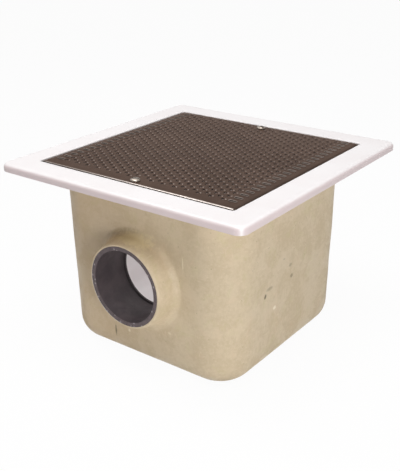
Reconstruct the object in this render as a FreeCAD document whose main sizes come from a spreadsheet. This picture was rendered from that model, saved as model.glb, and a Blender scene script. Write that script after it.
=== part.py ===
"""Pool main drain: a moulded fibreglass sump with a square flange, a side outlet
socket for 90 mm pipe and a perforated stainless steel grille held by two screws.

Millimetres.  The origin is the middle of the flat base, +Z is up and the outlet
points along -Y.  Each piece of the drain is one object with its own Label.
"""
import FreeCAD, Part
import math
import os

import Sketcher
from FreeCAD import Rotation, Vector

DRIVING_SIZES = {
    # sump moulding
    "overall_height": 243.5,
    "flange_margin": 34.0,
    "flange_corner_radius": 12.0,
    "flange_edge_radius": 5.0,
    "lip_depth": 10.0,
    "laminate_thickness": 4.0,
    "box_width": 270.0,
    "box_draft": 1.12,
    "box_corner_radius": 50.0,
    "box_base_radius": 31.0,
    "seat_corner_radius": 3.0,
    # grille: one folded and perforated sheet
    "grille_overlap": 7.0,
    "grille_height": 8.0,
    "grille_sheet": 1.5,
    "grille_bend_radius": 3.5,
    "grille_clearance": 1.5,
    "perforation_width": 5.2,
    "perforation_length": 6.6,
    "perforation_column_pitch": 9.4,
    "perforation_row_pitch": 12.8,
    "end_slot_length": 11.0,
    "end_slot_web": 2.4,
    "side_margin": 9.0,
    "front_margin": 18.0,
    "back_margin": 8.5,
    # screws, inserts and the moulded columns that hold them
    "screw_edge_distance": 11.0,
    "screw_diameter": 6.0,
    "screw_length": 16.0,
    "screw_tip_chamfer": 0.6,
    "screw_hole_diameter": 6.6,
    "screw_head_diameter": 12.0,
    "screw_head_height": 3.2,
    "screw_head_bevel": 2.0,
    "screw_slot_width": 1.6,
    "screw_slot_depth": 1.5,
    "insert_diameter": 9.0,
    "insert_length": 16.0,
    "column_clearance": 0.5,
    "column_floor": 6.0,
    # outlet socket and the boss laminated round it
    "outlet_height": 120.0,
    "outlet_reach": 27.0,
    "outlet_bore": 90.0,
    "outlet_bore_depth": 51.0,
    "outlet_wall": 5.6,
    "outlet_stop_height": 2.0,
    "outlet_stop_length": 3.0,
    "outlet_mouth_chamfer": 1.2,
    "boss_rim": 2.2,
    "boss_root_spread": 10.5,
}

WORKED_OUT_SIZES = {
    "grille_width": "box_width + 2 * grille_overlap",
    "seat_width": "grille_width + 2 * grille_clearance",
    "flange_width": "seat_width + 2 * flange_margin",
    "lip_bottom": "overall_height - lip_depth",
    "flange_hollow_width": "flange_width - 2 * laminate_thickness",
    "flange_hollow_radius": "flange_corner_radius - laminate_thickness",
    "flange_hollow_depth": "lip_depth - laminate_thickness",
    "seat_level": "overall_height - grille_height",
    "seat_pan_bottom": "seat_level - laminate_thickness",
    "seat_pan_height": "grille_height + laminate_thickness",
    "seat_pan_width": "seat_width + 2 * laminate_thickness",
    "seat_pan_radius": "seat_corner_radius + laminate_thickness",
    "cavity_width": "box_width - 2 * laminate_thickness",
    "cavity_radius": "box_corner_radius - laminate_thickness",
    "cavity_depth": "seat_level - laminate_thickness",
    "cavity_base_radius": "box_base_radius - laminate_thickness",
    "sheet_underside": "overall_height - grille_sheet",
    "tray_depth": "grille_height - grille_sheet",
    "grille_half": "grille_width / 2",
    "tray_half": "grille_half - grille_sheet",
    "bend_inner_radius": "grille_bend_radius - grille_sheet",
    "screw_offset": "grille_half - screw_edge_distance",
    "screw_slot_half": "screw_slot_width / 2",
    "column_height": "insert_length + column_floor",
    "column_diameter": "2 * (screw_edge_distance - grille_bend_radius - column_clearance)",
    "wall_at_outlet": "box_width / 2 - (seat_level - outlet_height) * tan(box_draft)",
    "outlet_mouth": "wall_at_outlet + outlet_reach",
    "outlet_hole_depth": "outlet_reach + 3 * laminate_thickness",
    "outlet_outer": "outlet_bore + 2 * outlet_wall",
    "outlet_length": "outlet_bore_depth + outlet_stop_length",
    "outlet_bore_radius": "outlet_bore / 2",
    "outlet_mouth_radius": "outlet_bore_radius + outlet_mouth_chamfer",
    "outlet_outer_radius": "outlet_outer / 2",
    "outlet_stop_radius": "outlet_bore_radius - outlet_stop_height",
    "boss_rim_radius": "outlet_outer_radius + boss_rim",
    "boss_root_radius": "boss_rim_radius + boss_root_spread",
    "boss_inner_end": "wall_at_outlet - 2 * laminate_thickness",
}

doc = FreeCAD.newDocument("PoolMainDrain")
sizes_sheet = doc.addObject("Spreadsheet::Sheet", "Sizes")


def fill_sheet():
    """Give each driving size, then each size worked out from them, a named cell."""
    cells = {name: str(number) for name, number in DRIVING_SIZES.items()}
    cells.update({name: "=" + text for name, text in WORKED_OUT_SIZES.items()})
    for row, (name, content) in enumerate(cells.items(), start=1):
        sizes_sheet.set(f"A{row}", name)
        sizes_sheet.set(f"B{row}", content)
        sizes_sheet.setAlias(f"B{row}", name)
    doc.recompute()


def size(name):
    """Number in a named cell; a leading minus turns its sign."""
    if name.startswith("-"):
        return -size(name[1:])
    return float(sizes_sheet.get(name))


def bind(item, path, name):
    """Bind one property or constraint to a named cell."""
    sign = "-" if name.startswith("-") else ""
    item.setExpression(path, f"{sign}Sizes.{name.lstrip('-')}")


def new_body(label):
    body = doc.addObject("PartDesign::Body", label)
    body.Label = label
    return body


def new_sketch(body, name, role="XY_Plane", lift=None, raise_axis=None):
    """Sketch on one of the body's own planes, moved along its normal by lift
    and, on an upright plane, up to the height raise_axis."""
    plane = next(item for item in body.Origin.OriginFeatures if item.Role == role)
    sketch = body.newObject("Sketcher::SketchObject", name)
    sketch.AttachmentSupport = (plane, [""])
    sketch.MapMode = "FlatFace"
    if lift is not None:
        bind(sketch, "AttachmentOffset.Base.z", lift)
    if raise_axis is not None:
        bind(sketch, "AttachmentOffset.Base.y", raise_axis)
    return sketch


def constrain(sketch, size_name, *terms):
    """Add a constraint whose value is a named size."""
    index = sketch.addConstraint(Sketcher.Constraint(*terms, size(size_name)))
    bind(sketch, f"Constraints[{index}]", size_name)


def rounded_square(sketch, width, radius):
    """Square with round corners, centred on the sketch's origin."""
    half = size(width) / 2
    corner = size(radius)
    inner = half - corner
    for quarter in range(4):
        turn = Rotation(Vector(0, 0, 1), 90 * quarter)
        side_start = turn.multVec(Vector(-inner, -half, 0))
        side_end = turn.multVec(Vector(inner, -half, 0))
        centre = turn.multVec(Vector(inner, -inner, 0))
        circle = Part.Circle(centre, Vector(0, 0, 1), corner)
        start_angle = math.radians(90 * quarter - 90)
        sketch.addGeometry(Part.LineSegment(side_start, side_end))
        sketch.addGeometry(Part.ArcOfCircle(circle, start_angle, start_angle + math.pi / 2))
    for edge in range(8):
        sketch.addConstraint(Sketcher.Constraint("Tangent", edge, 2, (edge + 1) % 8, 1))
    for edge, direction in ((0, "Horizontal"), (2, "Vertical"), (4, "Horizontal"), (6, "Vertical")):
        sketch.addConstraint(Sketcher.Constraint(direction, edge))
    for first, second in ((0, 2), (1, 3), (1, 5), (1, 7)):
        sketch.addConstraint(Sketcher.Constraint("Equal", first, second))
    sketch.addConstraint(Sketcher.Constraint("Symmetric", 0, 1, 4, 1, -1, 1))
    constrain(sketch, width, "DistanceX", 6, 1, 2, 1)
    constrain(sketch, radius, "Radius", 1)


def disc(sketch, diameter, along_y=None):
    """Circle on the sketch's origin, or on its upright axis at along_y."""
    offset = size(along_y) if along_y else 0.0
    circle = Part.Circle(Vector(0, offset, 0), Vector(0, 0, 1), size(diameter) / 2)
    edge = sketch.addGeometry(circle)
    if along_y:
        sketch.addConstraint(Sketcher.Constraint("PointOnObject", edge, 3, -2))
        constrain(sketch, along_y, "DistanceY", -1, 1, edge, 3)
    else:
        sketch.addConstraint(Sketcher.Constraint("Coincident", edge, 3, -1, 1))
    constrain(sketch, diameter, "Diameter", edge)


def outline(sketch, corners):
    """Closed outline through corners, each given by its two sizes; None lies on the axis."""
    points = [Vector(size(x) if x else 0.0, size(y) if y else 0.0, 0) for x, y in corners]
    count = len(points)
    for edge in range(count):
        sketch.addGeometry(Part.LineSegment(points[edge], points[(edge + 1) % count]))
    for edge in range(count):
        sketch.addConstraint(Sketcher.Constraint("Coincident", edge, 2, (edge + 1) % count, 1))
    for edge, (x, y) in enumerate(corners):
        if x:
            constrain(sketch, x, "DistanceX", -1, 1, edge, 1)
        else:
            sketch.addConstraint(Sketcher.Constraint("PointOnObject", edge, 1, -2))
        if y:
            constrain(sketch, y, "DistanceY", -1, 1, edge, 1)
        else:
            sketch.addConstraint(Sketcher.Constraint("PointOnObject", edge, 1, -1))


def square(sketch, half_width):
    """Sharp-cornered square, centred on the sketch's origin."""
    low, high = "-" + half_width, half_width
    outline(sketch, [(low, low), (high, low), (high, high), (low, high)])


def raise_or_cut(body, kind, name, sketch, length, against_normal=False, draft=None):
    """Pad or Pocket of a sketch; draft narrows it away from the sketch."""
    feature = body.newObject("PartDesign::" + kind, name)
    feature.Profile = sketch
    feature.Reversed = against_normal
    bind(feature, "Length", length)
    if draft is not None:
        bind(feature, "TaperAngle", "-" + draft)
    before = feature.BaseFeature.Shape.Volume if feature.BaseFeature else 0.0
    doc.recompute()
    change = feature.Shape.Volume - before
    if (change <= 0) if kind == "Pad" else (change >= 0):
        raise RuntimeError(f"{name} changed the volume by {change:.1f}")
    return feature


def level_edges(shape, height, tolerance=0.01):
    """Names of the edges that lie wholly at one height."""
    names = []
    for number, edge in enumerate(shape.Edges, start=1):
        box = edge.BoundBox
        if abs(box.ZMin - height) < tolerance and abs(box.ZMax - height) < tolerance:
            names.append(f"Edge{number}")
    return names


def round_edges(body, name, base, edges, radius):
    fillet = body.newObject("PartDesign::Fillet", name)
    fillet.Base = (base, edges)
    bind(fillet, "Radius", radius)
    doc.recompute()
    return fillet


def bevel_edges(body, name, base, edges, width):
    chamfer = body.newObject("PartDesign::Chamfer", name)
    chamfer.Base = (base, edges)
    bind(chamfer, "Size", width)
    doc.recompute()
    return chamfer


def revolve(body, name, sketch, axis="H_Axis"):
    turned = body.newObject("PartDesign::Revolution", name)
    turned.Profile = sketch
    turned.ReferenceAxis = (sketch, [axis])
    turned.Angle = 360.0
    doc.recompute()
    return turned


def make_sump_body():
    """The fibreglass moulding: flange with a turned-down lip, seat for the grille,
    drafted box, boss round the outlet and two columns for the grille screws."""
    body = new_body("sump_body")

    flange = new_sketch(body, "FlangeOutline", lift="lip_bottom")
    rounded_square(flange, "flange_width", "flange_corner_radius")
    slab = raise_or_cut(body, "Pad", "FlangeSlab", flange, "lip_depth")
    top_edges = level_edges(slab.Shape, size("overall_height"))
    round_edges(body, "FlangeRounding", slab, top_edges, "flange_edge_radius")

    hollow = new_sketch(body, "FlangeHollowOutline", lift="lip_bottom")
    rounded_square(hollow, "flange_hollow_width", "flange_hollow_radius")
    raise_or_cut(body, "Pocket", "FlangeHollow", hollow, "flange_hollow_depth", against_normal=True)

    pan = new_sketch(body, "SeatPanOutline", lift="seat_pan_bottom")
    rounded_square(pan, "seat_pan_width", "seat_pan_radius")
    raise_or_cut(body, "Pad", "SeatPan", pan, "seat_pan_height")

    box_outline = new_sketch(body, "BoxOutline", lift="seat_level")
    rounded_square(box_outline, "box_width", "box_corner_radius")
    raise_or_cut(body, "Pad", "Box", box_outline, "seat_level", against_normal=True, draft="box_draft")

    boss_section = new_sketch(body, "BossSection", role="YZ_Plane", raise_axis="outlet_height")
    draw_boss_section(boss_section)
    revolve(body, "OutletBoss", boss_section)

    seat = new_sketch(body, "SeatOutline", lift="seat_level")
    rounded_square(seat, "seat_width", "seat_corner_radius")
    raise_or_cut(body, "Pocket", "GrilleSeat", seat, "grille_height", against_normal=True)

    cavity_outline = new_sketch(body, "CavityOutline", lift="seat_level")
    rounded_square(cavity_outline, "cavity_width", "cavity_radius")
    cavity = raise_or_cut(body, "Pocket", "Cavity", cavity_outline, "cavity_depth", draft="box_draft")
    floor_edges = level_edges(cavity.Shape, size("laminate_thickness"))
    lined = round_edges(body, "CavityBaseRounding", cavity, floor_edges, "cavity_base_radius")
    round_edges(body, "BoxBaseRounding", lined, level_edges(lined.Shape, 0.0), "box_base_radius")

    columns = new_sketch(body, "ColumnOutlines", lift="sheet_underside")
    inserts = new_sketch(body, "InsertHoles", lift="sheet_underside")
    for offset in ("screw_offset", "-screw_offset"):
        disc(columns, "column_diameter", along_y=offset)
        disc(inserts, "insert_diameter", along_y=offset)
    raise_or_cut(body, "Pad", "ScrewColumns", columns, "column_height", against_normal=True)
    raise_or_cut(body, "Pocket", "InsertPockets", inserts, "insert_length")

    mouth = new_sketch(body, "OutletOutline", "XZ_Plane", lift="outlet_mouth", raise_axis="outlet_height")
    disc(mouth, "outlet_outer")
    raise_or_cut(body, "Pocket", "OutletHole", mouth, "outlet_hole_depth")
    return body


def draw_boss_section(sketch):
    """Half section of the boss: a flat rim, then a flank that flares into the wall."""
    mouth, wall, inside = size("outlet_mouth"), size("wall_at_outlet"), size("boss_inner_end")
    rim, root = size("boss_rim_radius"), size("boss_root_radius")
    reach, spread = mouth - wall, root - rim
    flare = (reach ** 2 + spread ** 2) / (2 * spread)
    flank_circle = Part.Circle(Vector(-mouth, rim + flare, 0), Vector(0, 0, 1), flare)
    flank_end = math.atan2(spread - flare, reach)

    sketch.addGeometry(Part.LineSegment(Vector(-mouth, 0, 0), Vector(-mouth, rim, 0)))
    sketch.addGeometry(Part.ArcOfCircle(flank_circle, -math.pi / 2, flank_end))
    sketch.addGeometry(Part.LineSegment(Vector(-wall, root, 0), Vector(-inside, root, 0)))
    sketch.addGeometry(Part.LineSegment(Vector(-inside, root, 0), Vector(-inside, 0, 0)))
    sketch.addGeometry(Part.LineSegment(Vector(-inside, 0, 0), Vector(-mouth, 0, 0)))
    for edge in range(5):
        sketch.addConstraint(Sketcher.Constraint("Coincident", edge, 2, (edge + 1) % 5, 1))
    sketch.addConstraint(Sketcher.Constraint("Vertical", 0))
    sketch.addConstraint(Sketcher.Constraint("Vertical", 1, 3, 1, 1))
    sketch.addConstraint(Sketcher.Constraint("Horizontal", 2))
    sketch.addConstraint(Sketcher.Constraint("Vertical", 3))
    sketch.addConstraint(Sketcher.Constraint("PointOnObject", 4, 1, -1))
    sketch.addConstraint(Sketcher.Constraint("PointOnObject", 4, 2, -1))
    constrain(sketch, "-outlet_mouth", "DistanceX", -1, 1, 0, 1)
    constrain(sketch, "boss_rim_radius", "DistanceY", -1, 1, 0, 2)
    constrain(sketch, "-wall_at_outlet", "DistanceX", -1, 1, 2, 1)
    constrain(sketch, "boss_root_radius", "DistanceY", -1, 1, 2, 1)
    constrain(sketch, "-boss_inner_end", "DistanceX", -1, 1, 3, 2)


def make_outlet_socket():
    """Pipe socket: a plain bore for the pipe and a stop ring at its inner end.
    Its own origin is the middle of the mouth."""
    body = new_body("outlet_socket")
    section = new_sketch(body, "SocketSection", role="YZ_Plane")
    outline(section, [
        (None, "outlet_mouth_radius"),
        (None, "outlet_outer_radius"),
        ("outlet_length", "outlet_outer_radius"),
        ("outlet_length", "outlet_stop_radius"),
        ("outlet_bore_depth", "outlet_stop_radius"),
        ("outlet_bore_depth", "outlet_bore_radius"),
        ("outlet_mouth_chamfer", "outlet_bore_radius"),
    ])
    revolve(body, "Socket", section)
    bind(body, "Placement.Base.y", "-outlet_mouth")
    bind(body, "Placement.Base.z", "outlet_height")
    return body


def make_grille():
    """Stainless sheet folded down on four sides, with staggered perforations."""
    tray = new_body("grille_tray")
    rim = new_sketch(tray, "GrilleOutline", lift="seat_level")
    square(rim, "grille_half")
    blank = raise_or_cut(tray, "Pad", "GrilleBlank", rim, "grille_height")
    top_edges = level_edges(blank.Shape, size("overall_height"))
    round_edges(tray, "OuterBend", blank, top_edges, "grille_bend_radius")
    inside = new_sketch(tray, "TrayOutline", lift="seat_level")
    square(inside, "tray_half")
    hollow = raise_or_cut(tray, "Pocket", "TrayHollow", inside, "tray_depth", against_normal=True)
    inner_edges = level_edges(hollow.Shape, size("sheet_underside"))
    round_edges(tray, "InnerBend", hollow, inner_edges, "bend_inner_radius")
    holes = new_sketch(tray, "GrilleScrewHoles", lift="overall_height")
    for offset in ("screw_offset", "-screw_offset"):
        disc(holes, "screw_hole_diameter", along_y=offset)
    raise_or_cut(tray, "Pocket", "ScrewHoles", holes, "grille_height")

    punches = doc.addObject("Part::Feature", "Punches")
    punches.Label = "grille_punches"
    punches.Shape = Part.makeCompound(punch_shapes())

    grille = doc.addObject("Part::Cut", "Grille")
    grille.Label = "grille"
    grille.Base = tray
    grille.Tool = punches
    return grille


def punch_shapes():
    """Prisms for the perforations: staggered columns and a slot at each row's end."""
    half_width = size("grille_half")
    row_pitch, column_pitch = size("perforation_row_pitch"), size("perforation_column_pitch")
    hole_width, hole_length = size("perforation_width"), size("perforation_length")
    front = -half_width + size("front_margin") + hole_length / 2
    back = half_width - size("back_margin") - hole_length / 2
    rows = int((back - front) // row_pitch) + 1
    slot_outer = half_width - size("side_margin")
    slot_inner = slot_outer - size("end_slot_length")
    last_column = slot_inner - size("end_slot_web") - hole_width / 2
    columns = int(2 * last_column // column_pitch) + 1
    first_column = -(columns - 1) * column_pitch / 2

    clear_of_screw = (size("screw_head_diameter") + hole_length) / 2 + size("grille_sheet")
    screws = [Vector(0, size("screw_offset"), 0), Vector(0, -size("screw_offset"), 0)]
    prisms = []
    for column in range(columns):
        stagger = row_pitch / 2 if column % 2 else 0.0
        for row in range(rows):
            spot = Vector(first_column + column * column_pitch, front + row * row_pitch + stagger, 0)
            if spot.y > back or min(spot.distanceToPoint(screw) for screw in screws) < clear_of_screw:
                continue
            prisms.append(punch(spot, hole_width, hole_length))
    for row in range(rows):
        for side in (-1, 1):
            middle = side * (slot_inner + slot_outer) / 2
            prisms.append(punch(Vector(middle, front + row * row_pitch, 0), slot_outer - slot_inner, hole_width))
    return prisms


def punch(spot, width, length):
    """Prism through the sheet, centred on a spot; it stands proud of both faces."""
    proud = size("grille_sheet") / 2
    bottom = size("sheet_underside") - proud
    corner = Vector(spot.x - width / 2, spot.y - length / 2, bottom)
    return Part.makeBox(width, length, size("grille_sheet") + 2 * proud, corner)


def make_screw(label, offset):
    """Slotted pan-head screw; its own origin is under the head."""
    body = new_body(label)
    shank_outline = new_sketch(body, "ShankOutline")
    disc(shank_outline, "screw_diameter")
    shank = raise_or_cut(body, "Pad", "Shank", shank_outline, "screw_length", against_normal=True)
    tip_edge = level_edges(shank.Shape, -size("screw_length"))
    bevel_edges(body, "ShankTip", shank, tip_edge, "screw_tip_chamfer")
    head_outline = new_sketch(body, "HeadOutline")
    disc(head_outline, "screw_head_diameter")
    head = raise_or_cut(body, "Pad", "Head", head_outline, "screw_head_height")
    top_edge = level_edges(head.Shape, size("screw_head_height"))
    bevel_edges(body, "HeadBevel", head, top_edge, "screw_head_bevel")
    slot_outline = new_sketch(body, "SlotOutline", lift="screw_head_height")
    outline(slot_outline, [
        ("-screw_head_diameter", "-screw_slot_half"),
        ("screw_head_diameter", "-screw_slot_half"),
        ("screw_head_diameter", "screw_slot_half"),
        ("-screw_head_diameter", "screw_slot_half"),
    ])
    raise_or_cut(body, "Pocket", "DriverSlot", slot_outline, "screw_slot_depth")
    bind(body, "Placement.Base.y", offset)
    bind(body, "Placement.Base.z", "overall_height")
    return body


def make_insert(label, offset):
    """Threaded brass insert, bedded in the column under the grille sheet."""
    body = new_body(label)
    ring = new_sketch(body, "InsertOutline")
    disc(ring, "insert_diameter")
    disc(ring, "screw_diameter")
    raise_or_cut(body, "Pad", "Insert", ring, "insert_length", against_normal=True)
    bind(body, "Placement.Base.y", offset)
    bind(body, "Placement.Base.z", "sheet_underside")
    return body


def check_document():
    """Stop if any object of the document failed."""
    for item in doc.Objects:
        faults = [state for state in item.State if state in ("Invalid", "Error")]
        if faults:
            raise RuntimeError(f"{item.Label}: {', '.join(faults)}")


def write_pieces(pieces):
    os.makedirs("parts", exist_ok=True)
    for piece in pieces:
        shape = piece.Shape
        if shape.isNull() or not shape.isValid() or not shape.Solids:
            raise RuntimeError(f"{piece.Label} has no valid solid")
        shape.exportStep(os.path.join("parts", piece.Label + ".step"))
        print(f"{piece.Label}: {len(shape.Solids)} solid, {shape.Volume / 1000:.1f} cm3")


fill_sheet()
pieces = [
    make_sump_body(),
    make_outlet_socket(),
    make_grille(),
    make_screw("grille_screw_front", "-screw_offset"),
    make_screw("grille_screw_back", "screw_offset"),
    make_insert("screw_insert_front", "-screw_offset"),
    make_insert("screw_insert_back", "screw_offset"),
]
doc.recompute()
check_document()
write_pieces(pieces)
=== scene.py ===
"""Pool main drain: a hand-laid fibreglass sump with a white gelcoat flange, a grey
pipe socket in a laminated boss and a folded, perforated stainless steel grille.

Metres.  The origin is the middle of the flat base, +Z is up and the outlet points
along -Y.
"""
import math

import bmesh
import bpy
from mathutils import Matrix, Vector, noise


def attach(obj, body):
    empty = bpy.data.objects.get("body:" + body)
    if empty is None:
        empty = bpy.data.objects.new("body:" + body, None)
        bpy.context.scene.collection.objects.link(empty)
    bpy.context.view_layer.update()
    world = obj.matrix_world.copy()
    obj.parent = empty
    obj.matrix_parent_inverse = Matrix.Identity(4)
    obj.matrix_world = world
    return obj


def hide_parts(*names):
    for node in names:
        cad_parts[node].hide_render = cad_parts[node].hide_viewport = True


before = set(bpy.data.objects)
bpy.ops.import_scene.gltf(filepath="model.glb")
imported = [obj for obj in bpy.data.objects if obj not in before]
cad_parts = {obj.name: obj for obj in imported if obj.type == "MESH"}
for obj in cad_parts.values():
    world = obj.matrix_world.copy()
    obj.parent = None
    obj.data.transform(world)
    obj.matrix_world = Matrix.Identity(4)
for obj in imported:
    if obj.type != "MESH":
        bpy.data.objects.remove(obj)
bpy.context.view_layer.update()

MM = 0.001

# Moulding: the box, the seat for the grille and the flange round it
TOP = 243.5 * MM
LAMINATE = 4 * MM
BOX_HALF = 135 * MM
BOX_CORNER = 50 * MM
BASE_ROUNDING = 31 * MM
DRAFT = math.tan(math.radians(1.12))
GRILLE_HEIGHT = 8 * MM
GRILLE_HALF = BOX_HALF + 7 * MM
SEAT = TOP - GRILLE_HEIGHT
SEAT_HALF = GRILLE_HALF + 1.5 * MM
SEAT_CORNER = 3 * MM
FLANGE_HALF = SEAT_HALF + 34 * MM
FLANGE_CORNER = 12 * MM
FLANGE_EDGE = 5 * MM
LIP_BOTTOM = TOP - 10 * MM
# Height of the waves in the hand-laid outside
WAVE = 0.6 * MM

# Outlet boss and the pipe socket in it
OUTLET_HEIGHT = 120 * MM
OUTLET_REACH = 27 * MM
WALL_AT_OUTLET = (SEAT - OUTLET_HEIGHT) * DRAFT - BOX_HALF
MOUTH = WALL_AT_OUTLET - OUTLET_REACH
SOCKET_OUTER = 50.6 * MM
SOCKET_BORE = 45 * MM
SOCKET_STOP = 43 * MM
SOCKET_LENGTH = 54 * MM
STOP_LENGTH = 3 * MM
BOSS_RIM = 52.8 * MM
BOSS_NECK = 56.6 * MM
BOSS_FLARE = 13 * MM
BOSS_SINK = 1.4 * MM

# Grille sheet and its perforations
SHEET = 1.5 * MM
BEND = 3.5 * MM
COLUMN_PITCH = 8.3 * MM
ROW_PITCH = 10.96 * MM
ROWS = 24
LAST_COLUMN = 14
FIELD_HALF = (LAST_COLUMN + 0.5) * COLUMN_PITCH
FIRST_ROW = -121.8 * MM
HOLE_WIDTH = 3.3 * MM
HOLE_LENGTH = 4.8 * MM
HOLE_CORNER = 1.5 * MM
SLOT_CELL = 14.3 * MM
# Collar of an end slot from its foot over its crest: width, length, corner and rise in millimetres
SLOT_RINGS = ((11.8, 4.8, 2.3, 0), (11.0, 4.0, 1.9, 0.7), (9.9, 2.4, 1.15, 0.4))
# Stud between two holes, from its foot: radius and rise in millimetres
STUD_RINGS = ((1.75, 0), (1.3, 0.42), (0.6, 0.72))

# Screws, and the moulded columns with a pocket for each brass insert
SCREW_OFFSET = GRILLE_HALF - 11 * MM
CLEAR_OF_SCREW = 9.8 * MM
COLUMN_RADIUS = 7 * MM
COLUMN_LENGTH = 22 * MM
INSERT_RADIUS = 4.5 * MM
INSERT_LENGTH = 16 * MM
# Half of a screw's section from its tip to its crown: radius and height in millimetres
SCREW_PROFILE = ((3.0, -16), (3.0, -0.3), (5.8, 0), (6.0, 0.35), (5.95, 0.9), (5.6, 1.6), (4.9, 2.2),
                 (3.8, 2.7), (2.4, 3.0), (0.9, 3.15))
DRIVER_SLOT_WIDTH = 1.9 * MM
DRIVER_SLOT_FLOOR = 1.3 * MM


# Camera

def make_camera(location, azimuth, elevation, roll, lens):
    """Camera at a place, looking by azimuth and elevation, rolled about its own axis."""
    turn, tilt, twist = (math.radians(angle) for angle in (azimuth, elevation, roll))
    back = Vector((math.sin(turn) * math.cos(tilt), -math.cos(turn) * math.cos(tilt), math.sin(tilt)))
    side = (-back).cross(Vector((0, 0, 1))).normalized()
    upward = side.cross(-back)
    rolled_side = side * math.cos(twist) + upward * math.sin(twist)
    rolled_up = upward * math.cos(twist) - side * math.sin(twist)
    camera_data = bpy.data.cameras.new("camera")
    camera_data.lens = lens
    camera_data.sensor_width = 36
    camera = bpy.data.objects.new("camera", camera_data)
    bpy.context.collection.objects.link(camera)
    place = Matrix((rolled_side, rolled_up, back)).transposed().to_4x4()
    place.translation = Vector(location)
    camera.matrix_world = place
    bpy.context.scene.camera = camera


make_camera((0.5712, -0.7668, 0.5429), azimuth=37.071, elevation=23.378, roll=-0.664, lens=60.93)


# Mesh helpers

CORNER_SEGMENTS = 12
SIDE_CUTS = 25
# Loops on one level differ in height by this much, so that none of them coincide
FALL = 0.04 * MM
ROUND_SEGMENTS = 96


def number_loop(mesh):
    """Gives every edge that has no number yet the next one, and returns it."""
    numbers = mesh.edges.layers.int.get("loop") or mesh.edges.layers.int.new("loop")
    number = 1 + max(edge[numbers] for edge in mesh.edges)
    for edge in mesh.edges:
        if edge[numbers] == 0:
            edge[numbers] = number
    return number


def loop_edges(mesh, *loops):
    """The edges of the loops with these numbers."""
    numbers = mesh.edges.layers.int["loop"]
    return [edge for edge in mesh.edges if edge[numbers] in loops]


def rounded_square(mesh, half, corner, height):
    """Level loop of edges: a square with rounded corners, its sides cut evenly."""
    sheet = bmesh.ops.create_grid(
        mesh, x_segments=1, y_segments=1, size=half, matrix=Matrix.Translation((0, 0, height)))
    bmesh.ops.bevel(
        mesh, geom=sheet["verts"], offset=corner, offset_type="OFFSET", segments=CORNER_SEGMENTS,
        profile=0.5, affect="VERTICES", material=-1)
    bmesh.ops.delete(mesh, geom=mesh.faces[:], context="FACES_ONLY")
    loop = number_loop(mesh)
    sides = sorted(loop_edges(mesh, loop), key=lambda edge: edge.calc_length())[-4:]
    bmesh.ops.subdivide_edges(mesh, edges=sides, cuts=SIDE_CUTS)
    return loop


def round_loop(mesh, radius, centre, facing="Z", segments=ROUND_SEGMENTS):
    """Round loop of edges about a centre, square to Z or to Y."""
    place = Matrix.Translation(centre)
    if facing == "Y":
        place = place @ Matrix.Rotation(math.pi / 2, 4, "X")
    bmesh.ops.create_circle(mesh, cap_ends=False, segments=segments, radius=radius, matrix=place)
    return number_loop(mesh)


def bridge(mesh, loops, material=0, close=False):
    """Faces between each loop and the next, and from the last to the first if closed."""
    following = loops[1:] + loops[:1] if close else loops[1:]
    for pair in zip(loops, following):
        made = bmesh.ops.bridge_loops(mesh, edges=loop_edges(mesh, *pair))
        for face in made["faces"]:
            face.material_index = material


def cap(mesh, loop, material=0):
    """One face across a loop."""
    made = bmesh.ops.edgeloop_fill(mesh, edges=loop_edges(mesh, loop))
    for face in made["faces"]:
        face.material_index = material


def finish_mesh(mesh, name, sharp_degrees):
    """Smooth-shaded mesh data with its doubles merged, faces outwards and sharp edges marked."""
    bmesh.ops.remove_doubles(mesh, verts=mesh.verts, dist=1e-6)
    bmesh.ops.recalc_face_normals(mesh, faces=mesh.faces)
    sharp = math.radians(sharp_degrees)
    for face in mesh.faces:
        face.smooth = True
    for edge in mesh.edges:
        edge.smooth = not (edge.is_manifold and edge.calc_face_angle(0) > sharp)
    data = bpy.data.meshes.new(name)
    mesh.to_mesh(data)
    mesh.free()
    return data


def new_piece(name, data, materials, slot, *replaced):
    """Object at the origin that stands for CAD nodes, with the given materials; the slot argument is not
    used.
    """
    piece = bpy.data.objects.new(name, data)
    bpy.context.collection.objects.link(piece)
    for material in materials:
        data.materials.append(material)
    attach(piece, "root")
    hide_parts(*replaced)
    return piece


def combined(data, tool, operation):
    """Mesh data joined with, or cut by, another mesh."""
    base_object = bpy.data.objects.new("base", data)
    tool_object = bpy.data.objects.new("tool", tool)
    for helper in (base_object, tool_object):
        bpy.context.collection.objects.link(helper)
    modifier = base_object.modifiers.new("join", "BOOLEAN")
    modifier.operation = operation
    modifier.solver = "EXACT"
    modifier.object = tool_object
    depsgraph = bpy.context.evaluated_depsgraph_get()
    result = bpy.data.meshes.new_from_object(base_object.evaluated_get(depsgraph))
    for helper in (base_object, tool_object):
        bpy.data.objects.remove(helper)
    return result


# Shader node groups

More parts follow.
